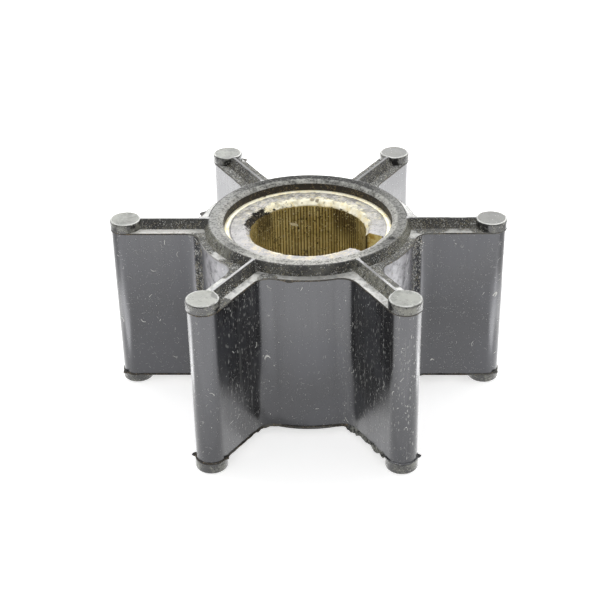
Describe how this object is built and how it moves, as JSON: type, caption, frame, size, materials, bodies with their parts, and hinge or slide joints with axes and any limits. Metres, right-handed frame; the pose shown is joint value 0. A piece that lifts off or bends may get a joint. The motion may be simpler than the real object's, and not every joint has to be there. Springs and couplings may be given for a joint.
{
  "type": "pump impeller",
  "caption": "Flexible rubber impeller with straight radial vanes, round tip beads and sealing ridges, moulded round a keyed brass bush with a plain bore.",
  "frame": {"origin": "on the shaft axis, in the plane of the lower sealing rim that the impeller stands on", "axes": "+Z along the shaft axis, upwards; +X along one vane"},
  "size_m": [0.0508, 0.0446, 0.024],
  "materials": {
    "rubber": "matt dark grey moulded rubber with a pale bloom and dust",
    "brass": "dull broached and turned brass"
  },
  "bodies": {
    "root": {"rubber_moulding": "rubber", "brass_bush": "brass"}
  },
  "joints": []
}
